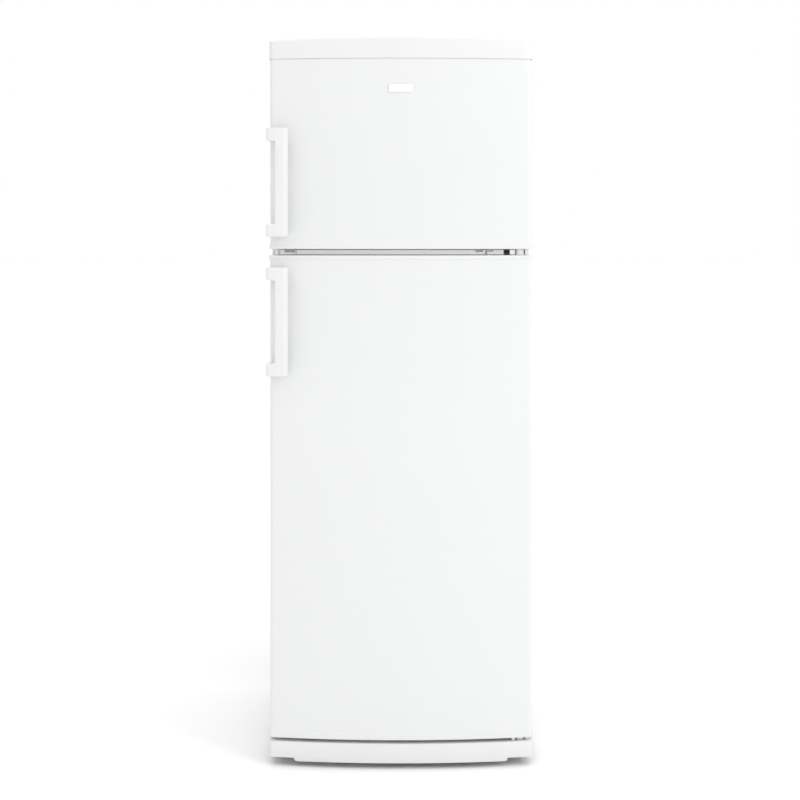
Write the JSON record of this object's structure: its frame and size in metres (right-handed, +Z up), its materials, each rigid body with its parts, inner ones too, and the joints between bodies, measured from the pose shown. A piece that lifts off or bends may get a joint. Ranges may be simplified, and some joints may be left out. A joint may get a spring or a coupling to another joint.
{
  "type": "top freezer refrigerator",
  "caption": "Free-standing refrigerator with a freezer compartment on top, bowed right-hinged doors, bar handles, glass shelves, crisper and rear condenser.",
  "frame": {"origin": "on the floor, under the middle of the appliance", "axes": "+X to the right seen from the front, +Y to the back, +Z up"},
  "size_m": [0.603, 0.649, 1.655],
  "materials": {
    "painted_sheet": "smooth white enamel",
    "plated_sheet": "zinc-plated sheet",
    "hinge_metal": "white enamelled steel",
    "screw_steel": "plated",
    "white_plastic": "satin white",
    "liner_plastic": "vacuum-formed sheet",
    "grey_plastic": "satin",
    "clear_plastic": "transparent",
    "lens_plastic": "ribbed, translucent",
    "shelf_glass": "clear",
    "foam": "rigid foam",
    "gasket": "soft, light grey",
    "black_paint": "black enamel",
    "black_rubber": "dull",
    "black_plastic": "dull",
    "copper_tube": "copper, dull",
    "evaporator_sheet": "roll-bonded",
    "shelf_wire": "plastic-coated wire",
    "badge_plate": "plain pearl white"
  },
  "bodies": {
    "cabinet": {"side_panel_left": "painted_sheet", "side_panel_right": "painted_sheet", "top_deck": "painted_sheet", "back_panel": "plated_sheet", "cabinet_foam": "foam", "fridge_liner": "liner_plastic", "freezer_liner": "liner_plastic", "mid_rail": "white_plastic", "base_tray": "plated_sheet", "kick_plinth": "white_plastic", "top_cover": "white_plastic", "top_hinge_bracket": "hinge_metal", "mid_hinge_bracket": "hinge_metal", "bottom_hinge_bracket": "hinge_metal", "hinge_screws": "screw_steel", "hinge_hole_plugs": "white_plastic", "control_box": "white_plastic", "lamp_lens": "lens_plastic", "shelf_panes": "shelf_glass", "shelf_trims": "white_plastic", "crisper_cover_glass": "shelf_glass", "crisper_cover_trim": "white_plastic", "freezer_wire_shelf": "shelf_wire", "evaporator_plates": "evaporator_sheet", "drain_tube": "black_plastic", "evaporation_pan": "black_plastic", "compressor": "black_paint", "compressor_grommets": "black_rubber", "start_relay": "black_plastic", "refrigerant_pipes": "copper_tube", "filter_drier": "copper_tube", "condenser_tube": "black_paint", "condenser_wires": "black_paint", "condenser_clips": "white_plastic", "wall_spacers": "black_plastic", "terminal_box": "black_plastic"},
    "freezer_door": {"freezer_door_skin": "painted_sheet", "freezer_door_foam": "foam", "freezer_door_liner": "liner_plastic", "freezer_door_gasket": "gasket", "freezer_door_caps": "white_plastic", "freezer_door_bins": "clear_plastic", "freezer_handle": "white_plastic", "badge": "badge_plate"},
    "fridge_door": {"fridge_door_skin": "painted_sheet", "fridge_door_foam": "foam", "fridge_door_liner": "liner_plastic", "fridge_door_gasket": "gasket", "fridge_door_caps": "white_plastic", "fridge_door_bins": "clear_plastic", "fridge_handle": "white_plastic"},
    "thermostat_knob": {"thermostat_knob": "white_plastic"},
    "switch_plunger": {"switch_plunger": "white_plastic"},
    "crisper_drawer": {"crisper_drawer": "clear_plastic"},
    "humidity_slider": {"humidity_slider": "grey_plastic"},
    "foot_left": {"foot_left": "black_plastic"},
    "foot_right": {"foot_right": "black_plastic"},
    "roller_left": {"roller_left": "black_rubber"},
    "roller_right": {"roller_right": "black_rubber"},
    "dairy_flap": {"dairy_flap": "clear_plastic"}
  },
  "joints": [
    {"name": "freezer_door_hinge", "type": "hinge", "parent": "cabinet", "child": "freezer_door", "pos_m": [0.2715, -0.265, 1.39], "axis": [0, 0, 1], "range_deg": [0, 120]},
    {"name": "fridge_door_hinge", "type": "hinge", "parent": "cabinet", "child": "fridge_door", "pos_m": [0.2715, -0.265, 0.61], "axis": [0, 0, 1], "range_deg": [0, 120]},
    {"name": "dairy_flap_hinge", "type": "hinge", "parent": "fridge_door", "child": "dairy_flap", "pos_m": [0, -0.218, 1.041], "axis": [1, 0, 0], "range_deg": [0, 65]},
    {"name": "crisper_drawer_slide", "type": "slide", "parent": "cabinet", "child": "crisper_drawer", "axis": [0, -1, 0], "range_m": [0, 0.13]},
    {"name": "switch_plunger_slide", "type": "slide", "parent": "cabinet", "child": "switch_plunger", "axis": [0, -1, 0], "range_m": [0, 0.008]},
    {"name": "humidity_slider_slide", "type": "slide", "parent": "cabinet", "child": "humidity_slider", "axis": [1, 0, 0], "range_m": [0, 0.046]},
    {"name": "thermostat_knob_turn", "type": "hinge", "parent": "cabinet", "child": "thermostat_knob", "pos_m": [0.07, -0.08, 1.122], "axis": [0, -1, 0], "range_deg": [-270, 0]},
    {"name": "foot_left_turn", "type": "hinge", "parent": "cabinet", "child": "foot_left", "pos_m": [-0.276, -0.185, 0.01], "axis": [0, 0, 1], "continuous": true},
    {"name": "foot_right_turn", "type": "hinge", "parent": "cabinet", "child": "foot_right", "pos_m": [0.276, -0.185, 0.01], "axis": [0, 0, 1], "continuous": true},
    {"name": "roller_left_spin", "type": "hinge", "parent": "cabinet", "child": "roller_left", "pos_m": [-0.276, 0.255, 0.018], "axis": [1, 0, 0], "continuous": true},
    {"name": "roller_right_spin", "type": "hinge", "parent": "cabinet", "child": "roller_right", "pos_m": [0.276, 0.255, 0.018], "axis": [1, 0, 0], "continuous": true}
  ],
  "couplings": [
    {"joint": "crisper_drawer_slide", "follows": "fridge_door_hinge", "m_per_rad": 0.062},
    {"joint": "switch_plunger_slide", "follows": "fridge_door_hinge", "m_per_rad": 0.0038}
  ]
}
